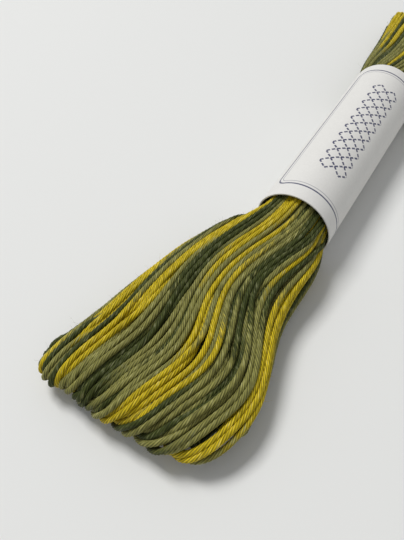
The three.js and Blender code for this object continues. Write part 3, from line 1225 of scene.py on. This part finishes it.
def make_camera(scene, settings):
    """Adds the camera and makes it the scene's."""
    data = bpy.data.cameras.new("camera")
    data.lens = settings.lens
    data.clip_start = CAMERA_CLIP
    camera = bpy.data.objects.new("camera", data)
    ahead = Vector((math.cos(settings.heading) * math.cos(settings.dip),
                    math.sin(settings.heading) * math.cos(settings.dip), -math.sin(settings.dip)))
    level = ahead.cross(Vector((0, 0, 1))).normalized()
    upright = level.cross(ahead)
    right = math.cos(settings.roll) * level + math.sin(settings.roll) * upright
    up = -math.sin(settings.roll) * level + math.cos(settings.roll) * upright
    place = Vector((band_middle.x, band_middle.y, 0)) + Vector(settings.camera_place)
    camera.matrix_world = Matrix.Translation(place) @ Matrix((right, up, -ahead)).transposed().to_4x4()
    scene.collection.objects.link(camera)
    scene.camera = camera


def make_floor(settings):
    """Adds a plain floor just under the skein."""
    corners = [(x * FLOOR_HALF, y * FLOOR_HALF, 0) for x, y in ((-1, -1), (1, -1), (1, 1), (-1, 1))]
    floor = new_mesh_piece("floor", corners, (0, 1, 2, 3))
    floor.location.z = -FLOOR_DROP
    material, tree = new_material("pale_floor")
    feed_shader(tree, {"Base Color": (*settings.floor_colour, 1), "Roughness": FLOOR_ROUGHNESS})
    floor.data.materials.append(material)


def make_lights(scene):
    """Adds an even light all round and two lamps that shine on the skein."""
    world = bpy.data.worlds.new("soft_room")
    world.use_nodes = True
    background = world.node_tree.nodes["Background"]
    background.inputs["Color"].default_value = ROOM_COLOUR
    background.inputs["Strength"].default_value = ROOM_STRENGTH
    scene.world = world
    for name, lamp in LAMPS.items():
        data = bpy.data.lights.new(name, "AREA")
        data.energy = lamp["power"]
        data.size = lamp["size"]
        light = bpy.data.objects.new(name, data)
        light.location = lamp["place"]
        light.rotation_euler = (-Vector(lamp["place"])).to_track_quat("-Z", "Y").to_euler()
        scene.collection.objects.link(light)


# Operators

def dress(piece, material, node):
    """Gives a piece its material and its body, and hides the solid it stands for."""
    piece.data.materials.append(material)
    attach(piece, BODY)
    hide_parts(node)


class SKEIN_OT_wind_thread(bpy.types.Operator):
    """Winds the thread turn by turn and lets the turns settle inside the skein's form"""

    bl_idname = "skein.wind_thread"
    bl_label = "Wind thread"

    def execute(self, context):
        settings = context.scene.skein_thread
        rng = np.random.default_rng(settings.seed)
        form = SkeinForm(BAND_RADIUS - BORE_PAPERS * context.scene.skein_band.paper)
        points, owners = Winding(form, settings, rng).thread()
        points = settle(points, form, settings)
        material = thread_material(settings)
        for piece in thread_pieces(points, owners, settings, rng):
            dress(piece, material, SKEIN_NODE)
        return {"FINISHED"}


class SKEIN_OT_grow_fibres(bpy.types.Operator):
    """Lets stray fibres stand out of the wound thread"""

    bl_idname = "skein.grow_fibres"
    bl_label = "Grow stray fibres"

    def execute(self, context):
        settings = context.scene.skein_fibre
        piece = stray_fibres(context.scene, settings, np.random.default_rng(settings.seed))
        dress(piece, bpy.data.materials[THREAD_MATERIAL], SKEIN_NODE)
        return {"FINISHED"}


class SKEIN_OT_wrap_band(bpy.types.Operator):
    """Rolls the paper band round the skein's waist and prints its border and stitches"""

    bl_idname = "skein.wrap_band"
    bl_label = "Wrap band"

    def execute(self, context):
        settings = context.scene.skein_band
        piece = band_piece(settings, np.random.default_rng(BAND_SEED))
        dress(piece, paper_material(settings), BAND_NODE)
        return {"FINISHED"}


class SKEIN_OT_set_stage(bpy.types.Operator):
    """Sets the camera, a plain pale floor and soft light"""

    bl_idname = "skein.set_stage"
    bl_label = "Set stage"

    def execute(self, context):
        scene = context.scene
        make_camera(scene, scene.skein_stage)
        make_floor(scene.skein_stage)
        make_lights(scene)
        scene.view_settings.view_transform = "Standard"
        return {"FINISHED"}


class SKEIN_PT_panel(bpy.types.Panel):
    """Lists the steps that make the skein"""

    bl_label = "Skein"
    bl_idname = "SKEIN_PT_panel"
    bl_space_type = "VIEW_3D"
    bl_region_type = "UI"
    bl_category = "Skein"

    def draw(self, context):
        """Draws a button for each step."""
        for step in STEPS:
            self.layout.operator(step.bl_idname)


STEPS = (SKEIN_OT_wind_thread, SKEIN_OT_grow_fibres, SKEIN_OT_wrap_band, SKEIN_OT_set_stage)
GROUPS = {
    "skein_thread": ThreadSettings,
    "skein_fibre": FibreSettings,
    "skein_band": BandSettings,
    "skein_stage": StageSettings,
}


def register():
    """Registers the classes and gives scenes their settings."""
    for group in (*GROUPS.values(), *STEPS, SKEIN_PT_panel):
        bpy.utils.register_class(group)
    for name, group in GROUPS.items():
        setattr(bpy.types.Scene, name, PointerProperty(type=group))


def unregister():
    """Takes the settings and the classes away again."""
    for name in GROUPS:
        delattr(bpy.types.Scene, name)
    for group in (SKEIN_PT_panel, *reversed(STEPS), *reversed(GROUPS.values())):
        bpy.utils.unregister_class(group)


def main():
    """Makes the skein and its stage."""
    register()
    bpy.ops.skein.wind_thread()
    bpy.ops.skein.grow_fibres()
    bpy.ops.skein.wrap_band()
    bpy.ops.skein.set_stage()


if __name__ == "__main__":
    main()
